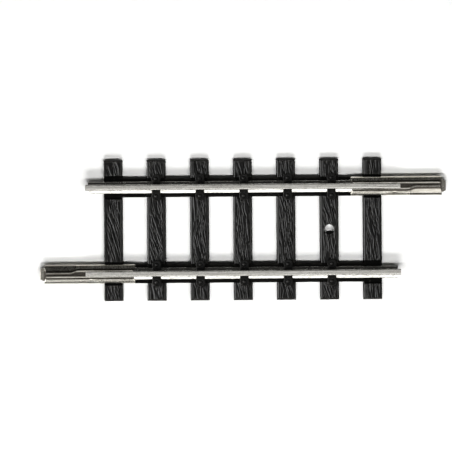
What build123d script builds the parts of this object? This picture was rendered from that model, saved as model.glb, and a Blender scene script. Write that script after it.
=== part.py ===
from build123d import *
import os

# A short straight of 6.5 mm gauge model track, in millimetres.
# +X runs along the rails, +Y to the back rail, +Z up. The origin is under the
# middle of the track, on the surface it lies on.

# ---------------------------------------------------------------- driving sizes
gauge = 6.5  # between the inner sides of the two rail heads
rail_length = 25.0  # over the foot
sleeper_count = 7
sleeper_pitch = 3.5

# rail, a flat-bottomed section 1.5 mm high
rail_height = 1.5
head_width = 0.46
head_depth = 0.34
head_flare = 0.10  # height of the sloped shoulders under the head
web_width = 0.22
foot_width = 1.0
foot_edge = 0.13  # thickness of the foot at its edges
foot_rise = 0.17  # how much thicker the foot is at the web
head_corner = 0.08
web_root = 0.12
foot_corner = 0.03
head_overhang = 0.2  # how far head and web run past the foot at each end

# sleepers and the strips that join them under the rails
sleeper_width = 1.54
sleeper_length = 11.4
sleeper_top = 1.25  # height above the ground
sleeper_draft = 3.5  # degrees
sleeper_bevel = 0.13
rail_seat = 1.10  # height of the rail's foot above the ground
seat_width = 1.55  # also the width of the strips
strip_bottom = 0.30
strip_bevel = 0.10

# chairs that hold the rail's foot
chair_width = 0.70
chair_drift = 0.045  # each row of chairs sits this much further right on its sleeper than the last
chair_reach = 0.70  # from the rail's centre line to the middle of the boss
chair_height = 0.42  # above the rail seat
boss_height = 0.50
boss_radius = 0.38
boss_bevel = 0.05
bolt_radius = 0.14
bolt_height = 0.05
rail_play = 0.01  # between the moulding and the rail
core_length = 0.56  # opening under each chair, left by the mould's core
core_width = 0.34
core_offset = 0.34  # from the rail's centre line

# room for the joiners at the track's ends
notch_width = 1.90
joiner_floor = 0.86  # height of the moulding under a joiner

# nail hole
nail_radius = 0.40
nail_sleeper = 5  # counted from the left, starting at 0

# joiner, one strip of sheet metal folded round the rail's foot
sheet = 0.16
joiner_body = 7.35  # over its folded sides
tongue = 0.35  # how far the floor stands out at each end
tongue_root = 1.15
tongue_tip = 0.80
end_slant = 0.25  # how far the ends fall back from the edges to the lips
joiner_play = 0.02  # between the sheet and the rail
side_play = 0.11  # between the fold and the foot's edge
lip_height = 0.95  # above the underside of the foot
edge_fold = 0.07
lip_fold = 0.21
joiner_overhang = 0.08  # how much less than half of the joiner is off the rail

# ---------------------------------------------------------------- derived sizes
rail_y = (gauge + head_width) / 2
rail_sides = {"front": -1, "back": 1}
sleeper_xs = [(i - (sleeper_count - 1) / 2) * sleeper_pitch for i in range(sleeper_count)]
inner_xs = sleeper_xs[1:-1]
chair_xs = [x + i * chair_drift for i, x in enumerate(inner_xs)]
end_sleeper_x = sleeper_xs[-1]
bed_length = end_sleeper_x * 2 + sleeper_width
nail_x = sleeper_xs[nail_sleeper]

head_bottom = rail_height - head_depth
foot_slope = foot_rise / (foot_width / 2 - web_width / 2)
slope_gap = joiner_play * (1 + foot_slope**2) ** 0.5

rail_reach = rail_length / 2 + head_overhang
joiner_length = joiner_body + 2 * tongue
joiner_x = rail_length / 2 - joiner_overhang
fold_half_width = foot_width / 2 + side_play
plate_top = rail_seat - joiner_play
clear = 5.0  # overrun of cutting shapes

os.makedirs("parts", exist_ok=True)


def foot_top(y, gap=0.0):
    """Height of the foot's sloped top above its underside, at y from the centre line."""
    return foot_edge + foot_slope * (foot_width / 2 - y) + gap


def cross_section(x, y=0.0, z=0.0):
    """A plane across the track at x, with its origin at y and z."""
    return Plane(origin=(x, y, z), x_dir=(0, 1, 0), z_dir=(1, 0, 0))


# ---------------------------------------------------------------- sections
# rail: foot, web and head, with the underside of the foot at 0
with BuildSketch() as rail_section:
    with BuildLine():
        Polyline(
            (0, 0),
            (foot_width / 2, 0),
            (foot_width / 2, foot_edge),
            (web_width / 2, foot_top(web_width / 2)),
            (web_width / 2, head_bottom - head_flare),
            (head_width / 2, head_bottom),
            (head_width / 2, rail_height),
            (0, rail_height),
        )
        mirror(about=Plane.YZ)
    make_face()
    rail_corners = rail_section.vertices()
    fillet(rail_corners.group_by(Axis.Y)[-1], head_corner)
    web_roots = rail_section.vertices().filter_by_position(Axis.Y, foot_edge, head_bottom / 2, (False, True))
    fillet(web_roots, web_root)
    foot_corners = rail_section.vertices().filter_by_position(Axis.Y, 0, foot_edge)
    fillet(foot_corners, foot_corner)

# joiner: the sheet's inner face from lip to lip round the foot, thickened outwards
fold_points = [
    (web_width / 2 + joiner_play, lip_height),
    (web_width / 2 + joiner_play, foot_top(web_width / 2 + joiner_play, slope_gap)),
    (fold_half_width, foot_top(fold_half_width, slope_gap)),
    (fold_half_width, -joiner_play),
]
mirrored_points = [(-y, z) for y, z in reversed(fold_points)]
fold_radii = [lip_fold, edge_fold, edge_fold]
with BuildSketch() as joiner_section:
    with BuildLine():
        FilletPolyline(*fold_points, *mirrored_points, radius=fold_radii + fold_radii[::-1])
        offset(amount=sheet, side=Side.LEFT)
    make_face()

# ---------------------------------------------------------------- sleeper bed
with BuildPart() as sleeper_bed:
    # sleepers, slightly narrower at the top, with the long edges bevelled
    with BuildSketch():
        with Locations([(x, 0) for x in sleeper_xs]):
            Rectangle(sleeper_width, sleeper_length)
    extrude(amount=sleeper_top, taper=sleeper_draft)
    long_edges = sleeper_bed.edges().group_by(Axis.Z)[-1].filter_by(Axis.Y).sort_by(Axis.X)
    chamfer(long_edges[1:-1], sleeper_bevel)

    # strips under the rails
    for side in rail_sides.values():
        with BuildSketch(cross_section(-bed_length / 2, side * rail_y, strip_bottom)) as strip_section:
            Rectangle(seat_width, rail_seat - strip_bottom, align=(Align.CENTER, Align.MIN))
            chamfer(strip_section.vertices().group_by(Axis.Y)[-1], strip_bevel)
        extrude(amount=bed_length)

    # rail seats let into the sleepers, and the deeper notches of the end sleepers
    seat_length = 2 * inner_xs[-1] + sleeper_width
    notch_length = (rail_length - seat_length) / 2
    notch_x = (rail_length + seat_length) / 4
    with BuildSketch(Plane.XY.offset(rail_seat)):
        with Locations([(0, side * rail_y) for side in rail_sides.values()]):
            Rectangle(seat_length, seat_width)
    extrude(amount=clear, mode=Mode.SUBTRACT)
    with BuildSketch(Plane.XY.offset(joiner_floor)):
        with GridLocations(2 * notch_x, 2 * rail_y, 2, 2):
            Rectangle(notch_length, notch_width)
    extrude(amount=clear, mode=Mode.SUBTRACT)

    # chairs: a block over the foot that ends in a round boss with a bolt head
    chair_places = [
        (x, side * rail_y + hand * chair_reach)
        for x in chair_xs
        for side in rail_sides.values()
        for hand in (-1, 1)
    ]
    block_centre = (chair_reach + web_width / 2 + rail_play) / 2
    block_length = chair_reach - web_width / 2 - rail_play
    block_places = [
        (x, side * rail_y + hand * block_centre)
        for x in chair_xs
        for side in rail_sides.values()
        for hand in (-1, 1)
    ]
    chair_base = (joiner_floor + rail_seat) / 2
    with BuildSketch(Plane.XY.offset(chair_base)):
        with Locations(block_places):
            Rectangle(chair_width, block_length)
    extrude(amount=rail_seat + chair_height - chair_base)
    with BuildSketch(Plane.XY.offset(chair_base)):
        with Locations(chair_places):
            Circle(boss_radius)
    extrude(amount=rail_seat + boss_height - chair_base)
    boss_rims = sleeper_bed.edges().group_by(Axis.Z)[-1].filter_by(GeomType.CIRCLE)
    chamfer(boss_rims, boss_bevel)
    with BuildSketch(Plane.XY.offset(rail_seat + boss_height)):
        with Locations(chair_places):
            Circle(bolt_radius)
    extrude(amount=bolt_height)

    # the rail's way through the chairs
    for side in rail_sides.values():
        with BuildSketch(cross_section(-rail_length / 2, side * rail_y, rail_seat)):
            add(rail_section.sketch)
            offset(amount=rail_play)
        extrude(amount=rail_length, mode=Mode.SUBTRACT)

    # core openings under the chairs
    with BuildSketch():
        for side in rail_sides.values():
            for hand in (-1, 1):
                with Locations([(x, side * rail_y + hand * core_offset) for x in chair_xs]):
                    Rectangle(core_length, core_width)
    extrude(amount=rail_seat, mode=Mode.SUBTRACT)

    # nail hole
    with Locations((nail_x, 0, sleeper_top)):
        Hole(nail_radius)

sleeper_bed.part.label = "sleeper_bed"
export_step(sleeper_bed.part, "parts/sleeper_bed.step")

# ---------------------------------------------------------------- rails
for name, side in rail_sides.items():
    with BuildPart() as rail:
        with BuildSketch(cross_section(-rail_reach, side * rail_y, rail_seat)):
            add(rail_section.sketch)
        extrude(amount=2 * rail_reach)

        # the foot stops short on both sides of the web
        with BuildSketch(Plane.XY.offset(rail_seat)):
            with Locations((0, side * rail_y)):
                with GridLocations(rail_length + head_overhang, foot_width + web_width, 2, 2):
                    Rectangle(head_overhang, foot_width)
        extrude(amount=foot_edge + foot_rise + web_root, mode=Mode.SUBTRACT)
    rail.part.label = "rail_" + name
    export_step(rail.part, "parts/rail_" + name + ".step")

# ---------------------------------------------------------------- joiners
joiner_ends = {"left": (-1, rail_sides["front"]), "right": (1, rail_sides["back"])}
for name, (end, side) in joiner_ends.items():
    centre_x = end * joiner_x
    centre_y = side * rail_y
    with BuildPart() as joiner:
        with BuildSketch(cross_section(centre_x - joiner_length / 2, centre_y, rail_seat)):
            add(joiner_section.sketch)
        extrude(amount=joiner_length)

        # both ends: folded sides cut on a slant, floor left as a chamfered tongue
        floor_plane = Plane((centre_x, centre_y, plate_top))
        with BuildSketch(floor_plane):
            with BuildLine():
                Polyline(
                    (joiner_body / 2 - end_slant, 0),
                    (joiner_body / 2, fold_half_width),
                    (joiner_body / 2, clear),
                    (joiner_length, clear),
                    (joiner_length, 0),
                    close=True,
                )
            make_face()
            mirror(about=Plane.XZ)
            mirror(about=Plane.YZ)
        extrude(amount=clear, mode=Mode.SUBTRACT)
        with BuildSketch(floor_plane):
            with BuildLine():
                Polyline(
                    (joiner_body / 2, tongue_root / 2),
                    (joiner_length / 2, tongue_tip / 2),
                    (joiner_length, tongue_tip / 2),
                    (joiner_length, clear),
                    (joiner_body / 2, clear),
                    close=True,
                )
            make_face()
            mirror(about=Plane.XZ)
            mirror(about=Plane.YZ)
        extrude(amount=-clear, mode=Mode.SUBTRACT)
    joiner.part.label = "joiner_" + name
    export_step(joiner.part, "parts/joiner_" + name + ".step")
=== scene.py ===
import math

import bpy
import bmesh
import numpy as np
from mathutils import Matrix, Vector, noise


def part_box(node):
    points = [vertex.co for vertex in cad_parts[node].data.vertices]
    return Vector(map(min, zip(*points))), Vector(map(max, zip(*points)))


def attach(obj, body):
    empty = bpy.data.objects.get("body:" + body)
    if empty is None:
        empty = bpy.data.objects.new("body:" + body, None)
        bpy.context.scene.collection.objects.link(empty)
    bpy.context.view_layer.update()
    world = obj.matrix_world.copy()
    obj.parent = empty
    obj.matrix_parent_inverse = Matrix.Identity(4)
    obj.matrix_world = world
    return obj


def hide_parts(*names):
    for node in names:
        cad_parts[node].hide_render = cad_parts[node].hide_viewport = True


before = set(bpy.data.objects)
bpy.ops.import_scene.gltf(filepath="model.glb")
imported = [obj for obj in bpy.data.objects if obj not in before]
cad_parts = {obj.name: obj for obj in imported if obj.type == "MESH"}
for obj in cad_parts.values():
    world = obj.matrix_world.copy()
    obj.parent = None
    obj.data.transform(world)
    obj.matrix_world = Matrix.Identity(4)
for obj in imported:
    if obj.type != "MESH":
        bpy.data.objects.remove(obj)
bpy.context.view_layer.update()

# A short straight of model track seen from above. Shapes are worked out in millimetres
# and turned into metres as each mesh is made. X runs along the rails, Y to the back rail.
MM = 0.001

# ---------------------------------------------------------------- places read from the frame
bed_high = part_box("sleeper_bed")[1] / MM
rail_low, rail_high = [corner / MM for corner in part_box("rail_back")]
joiner_low, joiner_high = [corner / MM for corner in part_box("joiner_right")]
RAIL_Y = (rail_low.y + rail_high.y) / 2
RAIL_SEAT = rail_low.z
RAIL_TOP = rail_high.z
RAIL_END = rail_high.x
BED_END = bed_high.x
SLEEPER_HALF_LENGTH = bed_high.y
JOINER_X = (joiner_low.x + joiner_high.x) / 2
JOINER_HALF_LENGTH = (joiner_high.x - joiner_low.x) / 2
RAILS = {"rail_front": -RAIL_Y, "rail_back": RAIL_Y}
JOINERS = {"joiner_left": (-1, -RAIL_Y), "joiner_right": (1, RAIL_Y)}

# ---------------------------------------------------------------- sizes of the moulding
SLEEPER_COUNT = 7
SLEEPER_WIDTH = 1.54
SLEEPER_TOP = 1.25
DRAFT = math.tan(math.radians(3.5))
BEVEL = 0.06
BEVEL_WIDTH = 0.09
GROOVE = 0.07  # depth of the line that parts a bevel from the grain
GROOVE_WIDTH = 0.03
GRAIN_MARGIN = 0.14  # from a long edge to the grain
SEAT_HALF = 0.775  # half the width of a rail seat and of a strip
NOTCH_HALF = 0.95
NOTCH_FLOOR = 0.86
STRIP_BOTTOM = 0.30
STRIP_BEVEL = 0.10
CHAIR_HALF = 0.35
BOSS_RADIUS = 0.38
CHAIR_REACH = 0.70  # from the rail's centre line to the middle of the boss
CHAIR_TOP = 0.42
BOSS_TOP = 0.50
CORE_HALF_LENGTH = 0.28
CORE_HALF_WIDTH = 0.17
CORE_OFFSET = 0.34  # from the rail's centre line to the middle of a core's opening
NAIL_RADIUS = 0.40
NAIL_SLEEPER = SLEEPER_COUNT - 2  # counted from the left, starting at 0
SLEEPER_PITCH = (2 * BED_END - SLEEPER_WIDTH) / (SLEEPER_COUNT - 1)
SLEEPER_XS = [(i - (SLEEPER_COUNT - 1) / 2) * SLEEPER_PITCH for i in range(SLEEPER_COUNT)]
INNER_XS = SLEEPER_XS[1:-1]
CHAIR_DRIFT = 0.045  # each row of chairs sits this much further right on its sleeper than the last
CHAIR_XS = [x + i * CHAIR_DRIFT for i, x in enumerate(INNER_XS)]
CHAIR_PLACES = [(x, side * RAIL_Y, hand) for x in CHAIR_XS for side in (-1, 1) for hand in (-1, 1)]
JOINER_ROOM = INNER_XS[-1] + SLEEPER_WIDTH / 2  # where the strips drop to clear a joiner

# ---------------------------------------------------------------- sizes of the metal parts
HEAD_HALF = 0.23
HEAD_BOTTOM = 1.16
HEAD_FLARE = 0.10
HEAD_OVERHANG = 0.2  # how far head and web run past the foot at each end
WEB_HALF = 0.11
FOOT_HALF = 0.50
FOOT_SEEN = 0.48  # half the width of the foot as drawn here, a little inside the CAD's
FOOT_EDGE = 0.13
FOOT_RISE = 0.10
FOOT_END = RAIL_END - HEAD_OVERHANG
RAIL_PLAY = 0.01
SHEET = 0.16
JOINER_RISE = 0.17  # how much the folded sides rise from the foot's edge to the web
JOINER_PLAY = 0.02
FOLD_HALF = 0.61
EDGE_FOLD = 0.08
LIP_FOLD = 0.21
LIP_TOP = 0.95
SIDE_FOOT = 0.1  # the sheet's floor and edge folds are below this, its sides above it
TONGUE = 0.35
TONGUE_ROOT = 0.575
TONGUE_TIP = 0.40
END_SLANT = 0.25
JOINER_BODY_HALF = JOINER_HALF_LENGTH - TONGUE
LEAN_START = 0.62  # beyond the rail's end: the joiner can be pushed in this far without touching
LEAN_RUN = 0.7  # distance over which the lean grows to its full size
LEAN = 0.18  # how far one lip has sprung inwards at the free end


# ================================================================ camera, light and floor
def make_camera():
    """Looks straight down from far enough away to show hardly any perspective."""
    distance = 300
    width_in_view = 36.56  # of the plane of the sleepers' tops
    below = (-1.366, 0.325)  # the point of the track in the middle of the picture
    turn = math.radians(0.434)
    data = bpy.data.cameras.new("camera")
    data.sensor_width = 36.0
    data.lens = data.sensor_width * (distance - SLEEPER_TOP) / width_in_view
    data.clip_start = 1 * MM
    data.clip_end = 5.0
    camera = bpy.data.objects.new("camera", data)
    bpy.context.scene.collection.objects.link(camera)
    camera.location = Vector((*below, distance)) * MM
    camera.rotation_euler = (0, 0, -turn)
    bpy.context.scene.camera = camera


def make_world():
    """A dim studio with a pale horizon behind the track, long from left to right and low."""
    dim, pale = 0.05, 1.05
    towards = Vector((0, 1, 0.08))
    stretch = Vector((0.4, 1, 3.0))  # an axis with less than 1 makes the horizon longer that way
    full, none = math.cos(math.radians(10)), math.cos(math.radians(40))
    world = bpy.data.worlds.new("studio")
    bpy.context.scene.world = world
    world.use_nodes = True
    add, join = world.node_tree.nodes.new, world.node_tree.links.new
    world.node_tree.nodes.clear()
    output = add("ShaderNodeOutputWorld")
    studio = add("ShaderNodeBackground")
    stretched = add("ShaderNodeVectorMath")
    stretched.operation = "MULTIPLY"
    stretched.inputs[1].default_value = stretch
    unit = add("ShaderNodeVectorMath")
    unit.operation = "NORMALIZE"
    facing = add("ShaderNodeVectorMath")
    facing.operation = "DOT_PRODUCT"
    facing.inputs[1].default_value = (towards * stretch).normalized()
    join(add("ShaderNodeTexCoord").outputs["Generated"], stretched.inputs[0])
    join(stretched.outputs["Vector"], unit.inputs[0])
    join(unit.outputs["Vector"], facing.inputs[0])
    strength = ranged(add, join, facing.outputs["Value"], dim, pale, none, full, "SMOOTHSTEP")
    studio.inputs["Color"].default_value = (1.0, 1.0, 0.975, 1)
    join(strength, studio.inputs["Strength"])
    join(studio.outputs["Background"], output.inputs["Surface"])


def add_softbox(name, place, width, height, watts, lights):
    """A rectangular lamp at place, in millimetres, that faces the middle of the track. It lights
    either matt surfaces or the mirror-like side of them, so that each can be set on its own."""
    data = bpy.data.lights.new(name, "AREA")
    data.shape = "RECTANGLE"
    data.size = width * MM
    data.size_y = height * MM
    data.energy = watts
    lamp = bpy.data.objects.new(name, data)
    bpy.context.scene.collection.objects.link(lamp)
    lamp.location = Vector(place) * MM
    lamp.rotation_euler = (-lamp.location).to_track_quat("-Z", "Y").to_euler()
    lamp.visible_glossy = lights == "mirrors"
    lamp.visible_diffuse = lights == "matt"
    lamp.visible_camera = False


def make_lights():
    """Two keys from the front for the two shadows behind each part, and what the metal mirrors."""
    # pale shadows, then narrow black ones close to the strips
    add_softbox("low_key", (0, -165, 320), 90, 45, 0.64, "matt")
    add_softbox("high_key", (5, -70, 330), 190, 26, 0.90, "matt")
    # white on the near side of the rails' feet, grey on their heads, bright lines on left bevels
    add_softbox("front_panel", (0, -150, 268), 700, 165, 1.0, "mirrors")
    add_softbox("overhead_card", (0, 2, 310), 700, 140, 0.26, "mirrors")
    add_softbox("left_wall", (-265, -30, 141), 260, 330, 3.4, "mirrors")


def make_floor():
    """A plain pale floor under the sleepers."""
    side = 1500
    mesh = bpy.data.meshes.new("floor")
    corners = [(-side, -side), (side, -side), (side, side), (-side, side)]
    mesh.from_pydata([(x * MM, y * MM, 0) for x, y in corners], [], [(0, 1, 2, 3)])
    floor = bpy.data.objects.new("floor", mesh)
    bpy.context.scene.collection.objects.link(floor)
    material = bpy.data.materials.new("pale_floor")
    material.use_nodes = True
    shader = material.node_tree.nodes["Principled BSDF"]
    shader.inputs["Base Color"].default_value = (0.86, 0.86, 0.85, 1)
    shader.inputs["Roughness"].default_value = 0.9
    shader.inputs["Specular IOR Level"].default_value = 0.1
    mesh.materials.append(material)


# ================================================================ materials
def new_material(name):
    """A node material with its shader and two helpers: one adds a node, one joins two sockets."""
    material = bpy.data.materials.new(name)
    material.use_nodes = True
    tree = material.node_tree
    shader = tree.nodes["Principled BSDF"]
    return material, shader, tree.nodes.new, tree.links.new


def noise_at(add, join, scale, detail=4.0, roughness=0.55, stretch=(1, 1, 1)):
    """Noise over the object's own coordinates, each axis multiplied by its part of stretch."""
    place = add("ShaderNodeTexCoord")
    mapping = add("ShaderNodeMapping")
    mapping.inputs["Scale"].default_value = stretch
    texture = add("ShaderNodeTexNoise")
    texture.inputs["Scale"].default_value = scale
    texture.inputs["Detail"].default_value = detail
    texture.inputs["Roughness"].default_value = roughness
    join(place.outputs["Object"], mapping.inputs["Vector"])
    join(mapping.outputs["Vector"], texture.inputs["Vector"])
    return texture.outputs["Fac"]


def ramp_of(add, join, value, stops):
    """Colours along a ramp driven by value."""
    ramp = add("ShaderNodeValToRGB")
    elements = ramp.color_ramp.elements
    while len(elements) < len(stops):
        elements.new(0.5)
    for element, (position, colour) in zip(elements, stops):
        element.position = position
        element.color = (*colour, 1)
    join(value, ramp.inputs["Fac"])
    return ramp.outputs["Color"]


def ranged(add, join, value, low, high, start=0.0, end=1.0, kind="LINEAR"):
    """value taken from start..end to low..high and held there outside."""
    node = add("ShaderNodeMapRange")
    node.interpolation_type = kind
    node.inputs["From Min"].default_value = start
    node.inputs["From Max"].default_value = end
    node.inputs["To Min"].default_value = low
    node.inputs["To Max"].default_value = high
    join(value, node.inputs["Value"])
    return node.outputs["Result"]


def mixed(add, join, factor, first, second):
    """Two colours mixed by a factor."""
    node = add("ShaderNodeMix")
    node.data_type = "RGBA"
    join(factor, node.inputs["Factor"])
    for socket, value in ((node.inputs[6], first), (node.inputs[7], second)):
        if isinstance(value, tuple):
            socket.default_value = (*value, 1)
        else:
            join(value, socket)
    return node.outputs[2]


def bumped(add, join, height, distance, strength, below=None):
    """A bump node over height, distance in millimetres."""
    bump = add("ShaderNodeBump")
    bump.inputs["Distance"].default_value = distance * MM
    bump.inputs["Strength"].default_value = strength
    join(height, bump.inputs["Height"])
    if below is not None:
        join(below, bump.inputs["Normal"])
    return bump.outputs["Normal"]


def height_in(add, join, coordinate):
    """The Z part of one of the object's own coordinates: its place or its normal."""
    parts = add("ShaderNodeSeparateXYZ")
    join(add("ShaderNodeTexCoord").outputs[coordinate], parts.inputs["Vector"])
    return parts.outputs["Z"]


def sleeper_plastic():
    """Black moulded plastic, rubbed paler on the ridges of its grain. It shines on top; its sides and
    all that lies below the sleepers' tops stay black."""
    material, shader, add, join = new_material("sleeper_plastic")
    patches = noise_at(add, join, 450, detail=3)
    fibres = noise_at(add, join, 1, detail=5, roughness=0.6, stretch=(16000, 2200, 9000))
    grit = noise_at(add, join, 26000, detail=2)
    geometry = add("ShaderNodeNewGeometry")
    worn = ranged(add, join, geometry.outputs["Pointiness"], 0.0, 1.0, 0.505, 0.58)
    base = ramp_of(add, join, patches, [(0.3, (0.002, 0.002, 0.0019)), (0.7, (0.005, 0.0049, 0.0045))])
    rubbed = mixed(add, join, worn, base, (0.045, 0.043, 0.038))
    join(mixed(add, join, fibres, rubbed, base), shader.inputs["Base Color"])
    join(ranged(add, join, grit, 0.26, 0.42, 0.3, 0.7), shader.inputs["Roughness"])
    facing_up = ranged(add, join, height_in(add, join, "Normal"), 0.02, 0.19, 0.45, 0.8)
    dark, bright = (RAIL_SEAT + 0.02) * MM, (RAIL_SEAT + 0.07) * MM
    on_top = ranged(add, join, height_in(add, join, "Object"), 0.15, 1.0, dark, bright)
    gloss = add("ShaderNodeMath")
    gloss.operation = "MULTIPLY"
    join(facing_up, gloss.inputs[0])
    join(on_top, gloss.inputs[1])
    join(gloss.outputs["Value"], shader.inputs["Specular IOR Level"])
    coarse = bumped(add, join, fibres, 0.012, 0.55)
    join(bumped(add, join, grit, 0.003, 0.4, below=coarse), shader.inputs["Normal"])
    return material


def rail_metal():
    """Drawn nickel silver: fine lines along the rail, short dull dashes and a slight grain."""
    material, shader, add, join = new_material("rail_metal")
    lines = noise_at(add, join, 1, detail=5, roughness=0.6, stretch=(330, 21000, 21000))
    dashes = noise_at(add, join, 1, detail=3, roughness=0.5, stretch=(2600, 9500, 5200))
    grain = noise_at(add, join, 42000, detail=2)
    silver = ramp_of(
        add, join, lines,
        [(0.30, (0.40, 0.39, 0.36)), (0.50, (0.54, 0.53, 0.50)), (0.72, (0.68, 0.67, 0.64))],
    )
    dull = ranged(add, join, dashes, 0.0, 0.55, 0.50, 0.68)
    join(mixed(add, join, dull, silver, (0.28, 0.27, 0.25)), shader.inputs["Base Color"])
    shader.inputs["Metallic"].default_value = 1.0
    join(ranged(add, join, dashes, 0.14, 0.30, 0.35, 0.7), shader.inputs["Roughness"])
    drawn = bumped(add, join, lines, 0.003, 0.5)
    dented = bumped(add, join, dashes, 0.006, 0.5, below=drawn)
    join(bumped(add, join, grain, 0.003, 0.5, below=dented), shader.inputs["Normal"])
    return material


def joiner_metal():
    """Bright folded sheet: warmer than the rails, mottled, with darker tarnish in broad patches, painted
    shade in its concave folds, and painted shade with some brown tarnish where the point attribute says."""
    material, shader, add, join = new_material("joiner_metal")
    patches = noise_at(add, join, 900, detail=3, stretch=(0.6, 2.0, 2.0))
    lines = noise_at(add, join, 1, detail=4, stretch=(900, 15000, 15000))
    speckle = noise_at(add, join, 24000, detail=3)
    bright = ramp_of(
        add, join, lines,
        [(0.32, (0.50, 0.48, 0.42)), (0.55, (0.68, 0.66, 0.60)), (0.75, (0.78, 0.76, 0.71))],
    )
    tarnish = ranged(add, join, patches, 0.0, 0.6, 0.48, 0.72)
    mottled = mixed(add, join, tarnish, bright, (0.30, 0.27, 0.22))
    # painted shade: the sheet's concave folds and creases, found by Pointiness, are darkened almost to black
    crease_shade = ranged(add, join, add("ShaderNodeNewGeometry").outputs["Pointiness"], 1.0, 0.0, 0.42, 0.485)
    crease_shaded = mixed(add, join, crease_shade, mottled, (0.03, 0.027, 0.022))
    # painted shade: the point attribute darkens the sheet inside the fold, in the crease beside each lip, on
    # the tongues (with some tarnish) and at the sprung lip's free end
    shade_and_tarnish = add("ShaderNodeAttribute")
    shade_and_tarnish.attribute_name = "shade_and_tarnish"
    join(mixed(add, join, shade_and_tarnish.outputs["Fac"], crease_shaded, (0.05, 0.042, 0.035)), shader.inputs["Base Color"])
    shader.inputs["Metallic"].default_value = 1.0
    join(ranged(add, join, speckle, 0.18, 0.36, 0.3, 0.7), shader.inputs["Roughness"])
    rolled = bumped(add, join, lines, 0.005, 0.5)
    join(bumped(add, join, speckle, 0.003, 0.45, below=rolled), shader.inputs["Normal"])
    return material


# ================================================================ mesh helpers
def mesh_from(name, points, faces):
    """A mesh in millimetres with its faces turned outwards."""
    mesh = bpy.data.meshes.new(name)
    mesh.from_pydata([tuple(p) for p in points], [], faces)
    work = bmesh.new()
    work.from_mesh(mesh)
    bmesh.ops.recalc_face_normals(work, faces=work.faces)
    work.to_mesh(mesh)
    work.free()
    return mesh


def joined(name, meshes):
    """Several meshes copied into one."""
    work = bmesh.new()
    for mesh in meshes:
        work.from_mesh(mesh)
    result = bpy.data.meshes.new(name)
    work.to_mesh(result)
    work.free()
    return result


def combined(mesh, other, operation):
    """mesh with other added to it or cut from it, both closed."""
    body = bpy.data.objects.new("body", mesh)
    tool = bpy.data.objects.new("tool", other)
    for piece in (body, tool):
        bpy.context.scene.collection.objects.link(piece)
    modifier = body.modifiers.new("combine", "BOOLEAN")
    modifier.operation = operation
    modifier.solver = "MANIFOLD"
    modifier.object = tool
    evaluated = body.evaluated_get(bpy.context.evaluated_depsgraph_get())
    result = bpy.data.meshes.new_from_object(evaluated)
    for piece in (body, tool):
        bpy.data.objects.remove(piece)
    return result


def smooth_by_angle(mesh, degrees):
    """Smooth faces, with the edges that turn by more than degrees kept sharp."""
    limit = math.radians(degrees)
    work = bmesh.new()
    work.from_mesh(mesh)
    for face in work.faces:
        face.smooth = True
    for edge in work.edges:
        edge.smooth = len(edge.link_faces) == 2 and edge.calc_face_angle() < limit
    work.to_mesh(mesh)
    work.free()


def finished_piece(name, mesh, material, body, node, angle):
    """Makes the mesh a piece in metres that stands for a CAD node and moves with its body."""
    mesh.transform(Matrix.Scale(MM, 4))
    smooth_by_angle(mesh, angle)
    mesh.materials.clear()
    mesh.materials.append(material)
    mesh.name = name
    piece = bpy.data.objects.new(name, mesh)
    bpy.context.scene.collection.objects.link(piece)
    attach(piece, body)
    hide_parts(node)


def box_mesh(low, high):
    """A plain closed box between two corners, for cutting."""
    corners = [(x, y, z) for x in (low[0], high[0]) for y in (low[1], high[1]) for z in (low[2], high[2])]
    faces = [(0, 1, 3, 2), (4, 6, 7, 5), (0, 4, 5, 1), (2, 3, 7, 6), (0, 2, 6, 4), (1, 5, 7, 3)]
    return mesh_from("box", corners, faces)


def turned(profile, segments, centre):
    """A closed solid of revolution about Z from (radius, height) points, bottom to top."""
    points, faces = [], []
    for radius, height in profile:
        for k in range(segments):
            angle = 2 * math.pi * k / segments
            across, along = radius * math.cos(angle), radius * math.sin(angle)
            points.append((centre[0] + across, centre[1] + along, height))
    for row in range(len(profile) - 1):
        for k in range(segments):
            here, nxt = row * segments + k, row * segments + (k + 1) % segments
            faces.append((here, nxt, nxt + segments, here + segments))
    faces.append(tuple(range(segments)))
    faces.append(tuple(range((len(profile) - 1) * segments, len(profile) * segments)))
    return mesh_from("turned", points, faces)


def rounded_outline(corners, steps=5):
    """A closed outline of (y, z, radius) corners, each corner an arc of its radius."""
    outline = []
    count = len(corners)
    for i, (y, z, radius) in enumerate(corners):
        here = Vector((y, z))
        before = Vector(corners[i - 1][:2]) - here
        after = Vector(corners[(i + 1) % count][:2]) - here
        if radius == 0:
            outline.append(here)
            continue
        before.normalize()
        after.normalize()
        half = before.angle(after) / 2
        centre = here + (before + after).normalized() * radius / math.sin(half)
        first = here + before * radius / math.tan(half) - centre
        last = here + after * radius / math.tan(half) - centre
        sweep = first.angle_signed(last)
        for k in range(steps + 1):
            turn = -sweep * k / steps
            c, s = math.cos(turn), math.sin(turn)
            outline.append(centre + Vector((first.x * c - first.y * s, first.x * s + first.y * c)))
    return outline


def swept(outline, stations, place):
    """A closed bar: the outline at each station along X, moved by place(x, y, z)."""
    points = [place(x, p.x, p.y) for x in stations for p in outline]
    count = len(outline)
    faces = []
    for row in range(len(stations) - 1):
        for k in range(count):
            here, nxt = row * count + k, row * count + (k + 1) % count
            faces.append((here, nxt, nxt + count, here + count))
    faces.append(tuple(range(count)))
    faces.append(tuple(range((len(stations) - 1) * count, len(stations) * count)))
    return mesh_from("bar", points, faces)


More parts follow.
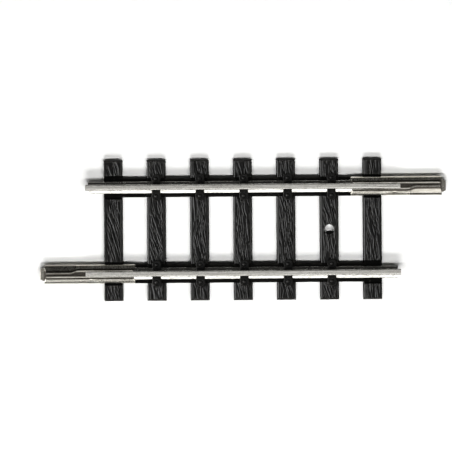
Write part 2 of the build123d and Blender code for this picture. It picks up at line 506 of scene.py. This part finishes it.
def raised_block(us, vs, heights, spread_u, spread_v, bottom):
    """A closed block with a top surface of heights over the grid us, vs. Its sides go down to
    bottom, spreading to spread_u and spread_v times the top's own extent."""
    nu, nv = len(us), len(vs)
    points = [(us[i], vs[j], heights[i, j]) for i in range(nu) for j in range(nv)]
    faces = [
        (i * nv + j, (i + 1) * nv + j, (i + 1) * nv + j + 1, i * nv + j + 1)
        for i in range(nu - 1)
        for j in range(nv - 1)
    ]
    rim = [(i, 0) for i in range(nu)] + [(nu - 1, j) for j in range(1, nv)]
    rim += [(i, nv - 1) for i in range(nu - 2, -1, -1)] + [(0, j) for j in range(nv - 2, 0, -1)]
    foot = len(points)
    points += [(us[i] * spread_u, vs[j] * spread_v, bottom) for i, j in rim]
    middle = len(points)
    points.append((0, 0, bottom))
    for k, (i, j) in enumerate(rim):
        k2 = (k + 1) % len(rim)
        i2, j2 = rim[k2]
        faces.append((i * nv + j, foot + k, foot + k2, i2 * nv + j2))
        faces.append((foot + k, middle, foot + k2))
    return mesh_from("block", points, faces)


def even_steps(low, high, step):
    """Evenly spaced values from low to high, about step apart."""
    return list(np.linspace(low, high, max(2, round((high - low) / step) + 1)))


def with_steps_at(values, edges, width):
    """The stations in values, with a close pair put in at each edge."""
    kept = [v for v in values if all(abs(v - e) > 1.5 * width for e in edges)]
    pairs = [e + side * width / 2 for e in edges for side in (-1, 1)]
    return np.array(sorted(kept + pairs))


def eased(value, width):
    """0 below 0, rising smoothly to 1 at width."""
    t = np.clip(value / width, 0, 1)
    return t * t * (3 - 2 * t)


# ================================================================ the moulding
def wood_grain(u, v, seed):
    """Depth of the moulded grain over a sleeper's top: long slanting grooves, each its own stroke,
    over a finer fibrous surface."""
    strokes = 135
    turned_back = 0.10  # share of the strokes that slant the other way
    fibre_depth = 0.016
    fibres_across, fibres_along = 9, 1.6  # how fast the fibrous surface changes
    rng = np.random.default_rng(seed)
    lean = rng.uniform(-0.30, -0.12)
    depth = np.zeros_like(u)
    for _ in range(strokes):
        across = rng.uniform(-0.75, 0.75)
        along = rng.uniform(-SLEEPER_HALF_LENGTH, SLEEPER_HALF_LENGTH)
        reach = rng.uniform(0.3, 1.35)
        slope = lean + rng.normal(0, 0.07) + 0.10 * math.sin(along * 0.9 + seed)
        if rng.random() < turned_back:
            slope = -slope
        sway = rng.uniform(0.0, 0.035)
        pitch = rng.uniform(2.5, 6.0)
        phase = rng.uniform(0, 2 * math.pi)
        width = rng.uniform(0.026, 0.044)
        cut = rng.uniform(0.035, 0.080)
        centre = across + slope * (v - along) + sway * np.sin(pitch * v + phase)
        fade = np.clip(1 - ((v - along) / reach) ** 2, 0, 1) ** 0.4
        depth = np.maximum(depth, cut * fade * np.exp(-(((u - centre) / width) ** 2)))
    fine = np.empty_like(u)
    for index in np.ndindex(u.shape):
        across = (u[index] - v[index] * lean) * fibres_across
        fine[index] = noise.noise(Vector((across, v[index] * fibres_along, seed * 7.3)))
    return depth - fibre_depth * fine


def outer_side(index):
    """-1 for the leftmost sleeper, 1 for the rightmost and 0 for the others."""
    return {0: -1, SLEEPER_COUNT - 1: 1}.get(index, 0)


def sleeper_top(u, v, half_u, half_v, index):
    """Heights of a sleeper's top: its soft ends and edges, bevels, grain and the nail hole's rim. The
    track's outermost two edges have no bevel."""
    first_seed = 11
    shoulder = SLEEPER_TOP - BEVEL
    end_drop = 0.10  # how much lower than the shoulder the ends begin
    soft_end, soft_edge = 0.08, 0.035  # widths of the rounding at the ends and at an edge with no bevel
    end_start, edge_start = 0.01, 0.02  # how far into its rounding each of them begins
    grain_fade = 0.06
    lift = 0.006  # of the surface between the grooves
    from_sides = {-1: u + half_u, 1: half_u - u}
    from_ends = half_v - np.abs(v)
    end_rise = eased(from_ends + end_start, soft_end)
    top = np.minimum(shoulder - end_drop + (BEVEL + end_drop) * end_rise, SLEEPER_TOP)
    for side, distance in from_sides.items():
        plain = outer_side(index) == side
        rise = eased(distance + edge_start, soft_edge) if plain else distance / BEVEL_WIDTH
        top = np.minimum(top, shoulder + BEVEL * rise)
    inside = eased(np.minimum(np.minimum(*from_sides.values()) - GRAIN_MARGIN, from_ends), grain_fade)
    top = top - wood_grain(u, v, first_seed + index) * inside + lift
    for side, distance in from_sides.items():
        if outer_side(index) != side:
            from_groove = distance - BEVEL_WIDTH - 1.5 * GROOVE_WIDTH
            top -= GROOVE * np.exp(-((from_groove / GROOVE_WIDTH) ** 2))
    if index == NAIL_SLEEPER:
        sunk, inner, width = 0.03, NAIL_RADIUS - 0.02, 0.07
        top -= sunk * (1 - eased(np.hypot(u, v) - inner, width))
    return top


def sleeper(index):
    """One sleeper: drafted sides, its top, and two rail seats or joiner notches let into it."""
    step_u, step_v = 0.025, 0.066
    wall = 0.016  # a seat's upright wall takes this much room
    at_end = outer_side(index) != 0
    floor, edge = (NOTCH_FLOOR, NOTCH_HALF) if at_end else (RAIL_SEAT, SEAT_HALF)
    half_u = SLEEPER_WIDTH / 2 - DRAFT * (SLEEPER_TOP - BEVEL)
    half_v = SLEEPER_HALF_LENGTH - DRAFT * (SLEEPER_TOP - BEVEL)
    seat_edges = [side * RAIL_Y + hand * edge for side in (-1, 1) for hand in (-1, 1)]
    us = np.array(even_steps(-half_u, half_u, step_u))
    vs = with_steps_at(even_steps(-half_v, half_v, step_v), seat_edges, wall)
    u, v = np.meshgrid(us, vs, indexing="ij")
    top = sleeper_top(u, v, half_u, half_v, index)
    for side in (-1, 1):
        in_seat = np.abs(v - side * RAIL_Y) < edge
        uneven = 0.008 * np.sin(u * 9 + side) * np.cos(v * 7) * at_end
        top = np.where(in_seat, np.minimum(floor + uneven, top), top)
    spread_u = (SLEEPER_WIDTH / 2) / half_u
    spread_v = SLEEPER_HALF_LENGTH / half_v
    mesh = raised_block(us, vs, top, spread_u, spread_v, 0)
    mesh.transform(Matrix.Translation((SLEEPER_XS[index], 0, 0)))
    return mesh


def strip(side):
    """The web under one rail, lowered at both ends to clear a joiner."""
    inset = 0.05  # from the outermost sleepers' outer sides
    sunk = 0.004  # the strip's top lies this far under the rail seats
    low_bevel = 0.03
    wall = 0.016
    xs = with_steps_at(even_steps(-BED_END + inset, BED_END - inset, 0.16), [-JOINER_ROOM, JOINER_ROOM], wall)
    ys = np.array(even_steps(-SEAT_HALF, SEAT_HALF, 0.05))
    u, v = np.meshgrid(xs, ys, indexing="ij")
    edge = SEAT_HALF - np.abs(v)
    high = np.minimum(RAIL_SEAT - sunk, RAIL_SEAT - STRIP_BEVEL + edge)
    low = np.minimum(NOTCH_FLOOR - sunk, NOTCH_FLOOR - low_bevel + edge)
    ripple = 0.006 * np.sin(u * 3.1 + side) * np.sin(v * 11) + 0.004 * np.sin(u * 13 + v * 5)
    top = np.where(np.abs(u) < JOINER_ROOM, high, low) - np.abs(ripple)
    mesh = raised_block(xs, ys, top, 1, 1, STRIP_BOTTOM)
    mesh.transform(Matrix.Translation((0, side * RAIL_Y, 0)))
    return mesh


def chair_block(base):
    """The chair's block, from the rail's web to the middle of the boss, its end at the web softened."""
    top = RAIL_SEAT + CHAIR_TOP
    soft = 0.035
    draft = 0.012
    web = WEB_HALF + RAIL_PLAY
    drops = {web: 0.03, web + 0.015: 0.01}  # how much lower the top is near the web
    corners = [
        (-CHAIR_HALF, base, 0), (CHAIR_HALF, base, 0),
        (CHAIR_HALF - draft, top, soft), (-CHAIR_HALF + draft, top, soft),
    ]

    def along_y(x, y, z):
        return (y, x, z - (drops.get(x, 0) if z > base else 0))

    return swept(rounded_outline(corners), [*drops, web + 0.04, CHAIR_REACH * 0.6, CHAIR_REACH], along_y)


def chair_boss(base):
    """The chair's round boss: a raised rim, a dish inside it and a domed bolt head in the middle."""
    rim = RAIL_SEAT + BOSS_TOP
    segments = 40
    outside = [(BOSS_RADIUS, base), (BOSS_RADIUS - 0.006, rim - 0.05), (BOSS_RADIUS - 0.018, rim - 0.018)]
    top = [(BOSS_RADIUS - 0.042, rim), (BOSS_RADIUS - 0.070, rim - 0.003)]
    dish = [(BOSS_RADIUS - 0.100, rim - 0.045), (0.17, rim - 0.055)]
    bolt = [(0.155, rim - 0.02), (0.13, rim + 0.012), (0.075, rim + 0.03), (0.02, rim + 0.036)]
    return turned(outside + top + dish + bolt, segments, (0, CHAIR_REACH))


def chair():
    """One chair on the back side of its rail's centre line: block and boss, hollowed for the foot."""
    base = RAIL_SEAT - 0.12
    overrun = 1.0
    under = -0.3
    slope = FOOT_RISE / (FOOT_HALF - WEB_HALF)
    edge = FOOT_HALF + RAIL_PLAY
    web = WEB_HALF - 0.05
    foot = rounded_outline([
        (-overrun, under, 0), (edge, under, 0), (edge, FOOT_EDGE + RAIL_PLAY, 0.03),
        (web, FOOT_EDGE + slope * (FOOT_HALF - web) + RAIL_PLAY, 0), (-overrun, -under, 0),
    ])
    way = swept(foot, [-overrun, overrun], lambda x, y, z: (x, y, z + RAIL_SEAT))
    return combined(combined(chair_block(base), chair_boss(base), "UNION"), way, "DIFFERENCE")


def core(x, y):
    """The opening that the mould's core leaves under a chair."""
    low = (x - CORE_HALF_LENGTH, y - CORE_HALF_WIDTH, -1)
    high = (x + CORE_HALF_LENGTH, y + CORE_HALF_WIDTH, RAIL_SEAT)
    return box_mesh(low, high)


def sleeper_bed():
    """The whole moulding: sleepers, strips and chairs in one, with nail hole and core openings."""
    bed = joined("sleepers", [sleeper(i) for i in range(SLEEPER_COUNT)])
    bed = combined(bed, joined("strips", [strip(side) for side in (-1, 1)]), "UNION")
    one = chair()
    chairs = []
    for x, y, hand in CHAIR_PLACES:
        copy = one.copy()
        turn = Matrix.Rotation(math.pi if hand < 0 else 0, 4, "Z")
        copy.transform(Matrix.Translation((x, y, 0)) @ turn)
        chairs.append(copy)
    bed = combined(bed, joined("chairs", chairs), "UNION")
    nail_hole = turned([(NAIL_RADIUS, -1), (NAIL_RADIUS, 3)], 64, (SLEEPER_XS[NAIL_SLEEPER], 0))
    cores = [core(x, y + hand * CORE_OFFSET) for x, y, hand in CHAIR_PLACES]
    return combined(bed, joined("cutters", [nail_hole, *cores]), "DIFFERENCE")


# ================================================================ the rails
def rail(y_centre, seed):
    """One rail: drawn section with soft corners, a little uneven along its length, ends cut square."""
    half = [
        (0, 0, 0), (FOOT_SEEN, 0, 0.03), (FOOT_SEEN, FOOT_EDGE, 0.05),
        (WEB_HALF, FOOT_EDGE + FOOT_RISE, 0.10), (WEB_HALF, HEAD_BOTTOM - HEAD_FLARE, 0.05),
        (HEAD_HALF, HEAD_BOTTOM, 0.02), (HEAD_HALF, RAIL_TOP - RAIL_SEAT, 0.08),
    ]
    other = [(-y, z, r) for y, z, r in reversed(half[1:])]
    outline = rounded_outline(half + other, steps=6)
    # the foot ends in a step between two stations close together
    ends = [FOOT_END - 0.01, FOOT_END, FOOT_END + 0.001, FOOT_END + 0.1, RAIL_END - 0.02, RAIL_END]
    stations = [-x for x in reversed(ends)] + even_steps(-FOOT_END + 0.15, FOOT_END - 0.15, 0.25) + ends

    def place(x, y, z):
        wave = 0.0035 * noise.noise(Vector((x * 0.7, y * 4, z * 4 + seed)))
        if abs(x) > FOOT_END and z < HEAD_BOTTOM - HEAD_FLARE:
            y = max(-WEB_HALF, min(WEB_HALF, y))
        return (x, y_centre + y + wave, RAIL_SEAT + z)

    return swept(outline, stations, place)


# ================================================================ the joiners
def fold_line():
    """The middle of the sheet from lip to lip round the foot: points and outward normals."""
    step = 0.045
    slope = JOINER_RISE / (FOOT_HALF - WEB_HALF)
    gap = JOINER_PLAY * math.hypot(1, slope)

    def above_foot(y):
        return FOOT_EDGE + slope * (FOOT_HALF - y) + gap

    near_web = WEB_HALF + JOINER_PLAY
    half = [
        (near_web, LIP_TOP, 0), (near_web, above_foot(near_web), LIP_FOLD),
        (FOLD_HALF, above_foot(FOLD_HALF), EDGE_FOLD), (FOLD_HALF, -JOINER_PLAY, EDGE_FOLD),
    ]
    path = rounded_outline(half + [(-y, z, radius) for y, z, radius in reversed(half)], steps=7)
    dense = [path[0]]
    for a, b in zip(path, path[1:]):
        parts = max(1, round((b - a).length / step))
        dense += [a + (b - a) * k / parts for k in range(1, parts + 1)]
    points, normals = [], []
    for k, p in enumerate(dense):
        run = dense[min(k + 1, len(dense) - 1)] - dense[max(k - 1, 0)]
        out = Vector((-run.y, run.x)).normalized()
        points.append(p + out * SHEET / 2)
        normals.append(out)
    return points, normals


def sheet_reach(p):
    """How far the sheet goes from the joiner's middle at point p of its section."""
    if p.y > 0 or abs(p.x) > TONGUE_ROOT:
        return JOINER_BODY_HALF - END_SLANT * (1 - min(1, abs(p.x) / FOLD_HALF))
    past_tip = (abs(p.x) - TONGUE_TIP) / (TONGUE_ROOT - TONGUE_TIP)
    return JOINER_HALF_LENGTH - TONGUE * min(1, max(0, past_tip))


def is_sprung(p, end):
    """Whether point p of the section is on the side whose lip has sprung inwards."""
    return p.x * end < 0 and p.y > SIDE_FOOT


def shade_and_tarnish_at(p, outward, end, inside):
    """How dark the sheet is painted at point p of its section, outward of the joiner's middle: painted shade
    inside the fold and in the crease beside each lip, painted shade with some tarnish on the tongues, and a
    little darker on the sprung side's free end."""
    crease_half, lip_height, free_start = 0.40, 0.3, 0.9
    on_tongue = p.y < 0 and abs(outward) > JOINER_BODY_HALF
    in_crease = abs(p.x) < crease_half and SIDE_FOOT < p.y < LIP_TOP - lip_height
    at_free_end = is_sprung(p, end) and outward > RAIL_END - JOINER_X + free_start
    if on_tongue:
        return 0.7
    if inside or in_crease:
        return 0.9
    return 0.5 if at_free_end else 0.0


def sheet_faces(rows, count):
    """Faces of a closed sheet whose two sides are grids of rows by count points, one after the other."""
    layer = rows * count
    faces = []
    for row in range(rows - 1):
        for k in range(count - 1):
            a = row * count + k
            faces.append((a, a + 1, a + count + 1, a + count))
            faces.append((layer + a, layer + a + count, layer + a + count + 1, layer + a + 1))
        for k in (0, count - 1):
            a = row * count + k
            faces.append((a, a + count, layer + a + count, layer + a))
    for row in (0, rows - 1):
        for k in range(count - 1):
            a = row * count + k
            faces.append((a, a + 1, layer + a + 1, layer + a))
    return faces


def joiner(end, y_centre, seed):
    """One joiner: sheet folded round the foot, ends cut on a slant, floor standing out as a tongue,
    and the free end's lip sprung inwards where no rail's web holds it out. The sides are a little
    uneven, with a small pip pressed up near the middle of each."""
    floor_top, even_below = 0.05, 0.2  # heights from which the sheet is uneven sideways and upwards
    pip_height, pip_reach, pip_offset = 0.035, -0.12, 0.47
    pip_length, pip_width = 0.07, 0.06
    points, normals = fold_line()
    edge_thickness = {0.986: 1.0, 0.994: 0.96, 1.0: 0.85}  # of the sheet close to its ends
    tips = list(edge_thickness)
    fractions = [-f for f in reversed(tips)] + even_steps(-0.97, 0.97, 0.02) + tips

    def lean_at(p, outward):
        """How far the sprung side has moved inwards, most at the lip and hardly at the fold."""
        run = outward + JOINER_X - RAIL_END - LEAN_START
        free = eased(run, LEAN_RUN) * (0.85 + 0.15 * outward / JOINER_HALF_LENGTH)
        return end * LEAN * free * min(1, (FOLD_HALF + 0.1 - abs(p.x)) / (FOLD_HALF - 0.25))

    def point(fraction, k, face):
        p, out = points[k], normals[k]
        x = fraction * sheet_reach(p)
        outward = x * end  # along the rail, away from the track
        thin = 0.8 if k in (0, len(points) - 1) else 1.0
        thin *= edge_thickness.get(abs(fraction), 1.0)
        y = p.x + out.x * face * SHEET / 2 * thin
        z = p.y + out.y * face * SHEET / 2 * thin
        if is_sprung(p, end):
            y += lean_at(p, outward)
        if z > floor_top:
            wobble = noise.noise(Vector((x * 0.9, k * 0.15, seed)))
            along_pip = (outward - pip_reach) / pip_length
            across_pip = (abs(p.x) - pip_offset) / pip_width
            y += 0.006 * wobble
            z += 0.010 * wobble * max(0, z - even_below) / (LIP_TOP - even_below)
            z += pip_height * math.exp(-(along_pip**2) - across_pip**2)
        return (end * JOINER_X + x, y_centre + y, RAIL_SEAT + z)

    faces = (1, -1)
    verts = [point(f, k, face) for face in faces for f in fractions for k in range(len(points))]
    mesh = mesh_from("joiner", verts, sheet_faces(len(fractions), len(points)))
    # painted shade, with some tarnish on the tongues, stored per point for the joiner's material
    shade_and_tarnish = mesh.attributes.new("shade_and_tarnish", "FLOAT", "POINT")
    shade_and_tarnish_values = [
        shade_and_tarnish_at(p, end * f * JOINER_HALF_LENGTH, end, face < 0)
        for face in faces for f in fractions for p in points
    ]
    shade_and_tarnish.data.foreach_set("value", shade_and_tarnish_values)
    return mesh


# ================================================================ putting it together
make_camera()
make_world()
make_lights()
make_floor()
bpy.context.scene.view_settings.view_transform = "Standard"
bpy.context.scene.view_settings.gamma = 0.85

plastic, silver, folded = sleeper_plastic(), rail_metal(), joiner_metal()
finished_piece("bed_moulding", sleeper_bed(), plastic, "track", "sleeper_bed", angle=48)
for seed, (node, y) in enumerate(RAILS.items()):
    finished_piece(node + "_drawn", rail(y, seed), silver, "track", node, angle=50)
for seed, (node, (end, y)) in enumerate(JOINERS.items()):
    finished_piece(node + "_folded", joiner(end, y, seed + 5), folded, node, node, angle=60)
